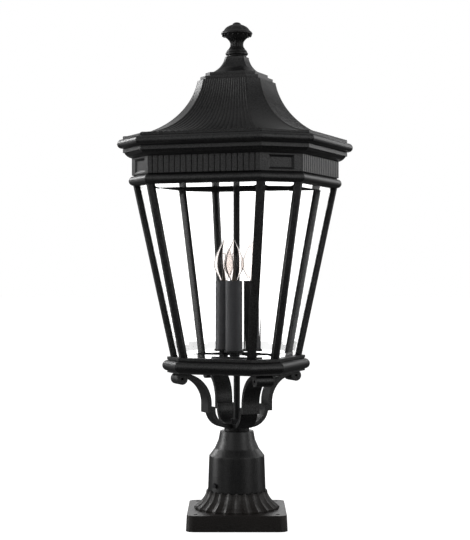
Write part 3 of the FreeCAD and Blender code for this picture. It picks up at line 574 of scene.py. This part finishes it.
def capPiece():
    # stepped cap whose neck sweeps in smoothly to the finial
    foot, head, bulge = capForm["neck"]
    neck = bulged(head, foot, bulge, capForm["neckSteps"])[::-1]
    outline = capForm["steps"] + neck + [(capForm["bore"], head[1])]
    vertices, faces = [], []
    ringBand(vertices, faces, [octagonRing(d, capForm["wideShare"] * d, z) for d, z in outline])
    castPiece("cap_cast", "roof", "roof_cap", vertices, faces, capForm["sharpAngle"])


cageForm = {
    # the outside of the cage, which spreads from the bottom ring up to the frieze
    "foot": 251.9, "footFlats": 168.8, "footWide": 110.07,
    "head": 505.1, "headFlats": 261.5, "headWide": 173.36,
    "barLeg": 7.1, "barDepth": 10.0, "barSharpAngle": 20,
    # the panes lie behind the bars' faces and lap into them; their bevels are ground on the outer face
    "paneSink": 6.7, "paneThickness": 3.0, "paneLap": 0.3,
    "sideBevel": 6.7, "sideDepth": 0.3,
    "endBevel": 5.4, "endDepth": 0.75,
}


def cageSection(height):
    # flats and wide side of the cage's outside at a height
    f = cageForm
    share = (height - f["foot"]) / (f["head"] - f["foot"])
    return (f["footFlats"] + (f["headFlats"] - f["footFlats"]) * share,
            f["footWide"] + (f["headWide"] - f["footWide"]) * share)


def barPieces():
    # angle bars along the corners, their flanks plain down to the glass
    f = cageForm
    for i in range(8):
        vertices = []
        for height in (f["foot"], f["head"]):
            flats, wide = cageSection(height)
            corners = [Vector(corner) for corner in octagonRing(flats / 2, wide, height)]
            corner = corners[i]
            left = (corners[i - 1] - corner).normalized()
            right = (corners[(i + 1) % 8] - corner).normalized()
            inwards = (left + right).normalized()
            legEnds = []
            for along in (left, right):
                deep = (inwards - along * inwards.dot(along)).normalized()
                legEnds.append([corner + along * f["barLeg"] + deep * depth for depth in (f["barDepth"], 0)])
            vertices += legEnds[0] + [corner] + legEnds[1][::-1]
            vertices.append(corner + inwards * (f["barDepth"] / math.cos(halfCorner)))
        faces = [(k, (k + 1) % 6, 6 + (k + 1) % 6, 6 + k) for k in range(6)]
        faces += [(5, 4, 3, 2, 1, 0), (6, 7, 8, 9, 10, 11)]
        castPiece(f"bar_cast_{i + 1}", "lantern", f"cage_bar_{i + 1}", vertices, faces, f["barSharpAngle"])


def panePieces():
    # plate glass ground to a bevel on its outer face, shallow along the bars and steep along the two rings
    f = cageForm

    def paneEdge(height, wideSide):
        # half width of a pane and distance of its face from the axis
        flats, wide = cageSection(height)
        width = wide if wideSide else (flats - wide) / math.sqrt(2)
        distance = flats / 2 if wideSide else (flats + wide) / math.sqrt(8)
        return width / 2 - f["barLeg"] + f["paneLap"], distance - f["paneSink"]

    # from each end inwards: how far along, how far in from the sides and how deep behind the face;
    # at the mitre the end's bevel is as deep as the side's
    mitre = f["endBevel"] * (1 - f["sideDepth"] / f["endDepth"])
    steps = ((0, 0, f["paneThickness"]), (0, 0, f["endDepth"]), (mitre, 0, f["sideDepth"]),
             (f["endBevel"], f["sideBevel"], 0))
    faces = [(6, 7, 15, 14), (4, 6, 14, 12), (7, 5, 13, 15), (2, 3, 5, 7, 6, 4), (10, 12, 14, 15, 13, 11),
             (1, 0, 8, 9), (0, 2, 4, 12, 10, 8), (3, 1, 9, 11, 13, 5), (0, 1, 3, 2), (10, 11, 9, 8)]
    for wideSide, kind, start in ((True, "wide", 0), (False, "narrow", 45)):
        pane = []
        for end, way in ((f["foot"], 1), (f["head"], -1)):
            for rise, shrink, depth in steps:
                height = end + way * rise
                half, out = paneEdge(height, wideSide)
                pane += [Vector((side * (half - shrink), depth - out, height)) for side in (-1, 1)]
        for i in range(4):
            turn = Matrix.Rotation(math.radians(90 * i + start) + lanternYaw, 3, "Z")
            vertices = [tuple(turn @ v * mm) for v in pane]
            piece = meshPiece(f"{kind}_glass_{i + 1}", vertices, faces, paneGlass, flatShading)
            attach(piece, "lantern")
            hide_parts(f"{kind}_pane_{i + 1}")


roofPiece()
capPiece()
finialPiece()
print("roof, cap and finial made")
barPieces()
panePieces()
lampGlasses()
print("bars, panes and lamp glasses made")


studio = {
    "floorSide": 30.0,
    "paper": "#c8c8c8",
    "floorGlow": 0.88,      # keeps the paper near white to the eye
    "dimFloor": "#3c3c3c",  # the floor that the casting mirrors
    "roomLight": 0.33,      # the room that the casting mirrors, where the eye's is 1
}


def surfaceBounces(tree, path):
    # none for what the camera sees straight or through glass, one or more for light off a surface
    bounces = addNode(tree, "ShaderNodeMath", {"operation": "ADD", "use_clamp": True})
    tree.links.new(path.outputs["Diffuse Depth"], bounces.inputs[0])
    tree.links.new(path.outputs["Glossy Depth"], bounces.inputs[1])
    return bounces.outputs["Value"]


def plainFloor():
    mesh = bpy.data.meshes.new("floor")
    half = studio["floorSide"] / 2
    corners = [(-half, -half, 0), (half, -half, 0), (half, half, 0), (-half, half, 0)]
    mesh.from_pydata(corners, [], [(0, 1, 2, 3)])
    floor = bpy.data.objects.new("floor", mesh)
    bpy.context.scene.collection.objects.link(floor)
    material, tree = newMaterial("PaperFloor")
    # white paper sweep with the shadow on it for the camera; the casting sees a dim studio floor
    path = addNode(tree, "ShaderNodeLightPath")
    glow = addNode(tree, "ShaderNodeMapRange", None,
                   {"Value": surfaceBounces(tree, path), "To Min": studio["floorGlow"], "To Max": 0.0})
    tone = ramp(tree, surfaceBounces(tree, path), studio["paper"], studio["dimFloor"])
    paper = addNode(tree, "ShaderNodeBsdfDiffuse", None, {"Color": tone})
    light = addNode(tree, "ShaderNodeEmission", None, {"Strength": glow.outputs["Result"]})
    both = addNode(tree, "ShaderNodeAddShader")
    tree.links.new(paper.outputs["BSDF"], both.inputs[0])
    tree.links.new(light.outputs["Emission"], both.inputs[1])
    finishMaterial(tree, both.outputs["Shader"])
    floor.data.materials.append(material)


def whiteRoom():
    world = bpy.data.worlds.new("room")
    bpy.context.scene.world = world
    world.use_nodes = True
    tree = world.node_tree
    tree.nodes.clear()
    # white to the eye, also through glass; light that comes off a surface sees the room's own level
    path = addNode(tree, "ShaderNodeLightPath")
    strength = addNode(tree, "ShaderNodeMapRange", None,
                       {"Value": surfaceBounces(tree, path), "To Min": 1.0, "To Max": studio["roomLight"]})
    room = addNode(tree, "ShaderNodeBackground", None,
                   {"Color": colour("#ffffff"), "Strength": strength.outputs["Result"]})
    addNode(tree, "ShaderNodeOutputWorld", None, {"Surface": room.outputs["Background"]})


def softbox(name, place, aim, width, height, power, behindGlass=False):
    # none shows itself to the camera, and only the panel behind the lantern shows through its panes
    lamp = bpy.data.lights.new(name, "AREA")
    lamp.shape = "RECTANGLE"
    lamp.size = width
    lamp.size_y = height
    lamp.energy = power
    holder = bpy.data.objects.new(name, lamp)
    holder.location = place
    holder.rotation_euler = (Vector(aim) - Vector(place)).to_track_quat("-Z", "Y").to_euler()
    holder.visible_camera = False
    holder.visible_transmission = behindGlass
    bpy.context.scene.collection.objects.link(holder)


cameraSet = {
    "distance": 2.150, "height": 0.3865,
    "focal": 1430.5, "side": 540, "nudge": (-1.8, -4.0),  # pixels
    "sensor": 36.0,                                       # mm
    "farthest": 60.0,
}


def photographCamera():
    # level camera a little over two metres off, its frame nudged by a few pixels as the photograph's crop is
    data = bpy.data.cameras.new("camera")
    data.sensor_width = cameraSet["sensor"]
    data.lens = cameraSet["sensor"] * cameraSet["focal"] / cameraSet["side"]
    data.shift_x = cameraSet["nudge"][0] / cameraSet["side"]
    data.shift_y = cameraSet["nudge"][1] / cameraSet["side"]
    data.clip_end = cameraSet["farthest"]
    camera = bpy.data.objects.new("camera", data)
    camera.location = (0, -cameraSet["distance"], cameraSet["height"])
    camera.rotation_euler = (math.radians(90), 0, 0)
    bpy.context.scene.collection.objects.link(camera)
    bpy.context.scene.camera = camera


plainFloor()
whiteRoom()

# two strips draw the bright edges, the front pair fills the faces, and the roof's top mirrors the rear pair
softbox("leftStrip", place=(-1.88, 0.30, 0.7), aim=(0, 0, 0.45), width=0.6, height=1.8, power=22)
softbox("rightStrip", place=(1.85, 0.35, 0.7), aim=(0, 0, 0.45), width=0.5, height=1.8, power=7)
softbox("leftFrontSoftbox", place=(-1.4, -1.55, 0.9), aim=(0, 0, 0.45), width=0.8, height=1.8, power=3.4)
softbox("rightFrontSoftbox", place=(1.5, -1.35, 0.9), aim=(0, 0, 0.45), width=0.8, height=1.8, power=6.5)
softbox("leftRearSoftbox", place=(-1.4, 1.5, 1.19), aim=(0, 0, 0.65), width=0.5, height=0.5, power=8)
softbox("rightRearSoftbox", place=(1.25, 1.45, 0.95), aim=(0, 0, 0.55), width=0.6, height=0.6, power=1.9)
softbox("backdropPanel", place=(0, 2.2, 0.75), aim=(0, 0, 0.5), width=1.4, height=1.2, power=6.2,
        behindGlass=True)
photographCamera()
bpy.context.scene.view_settings.view_transform = "Standard"
print("studio made")
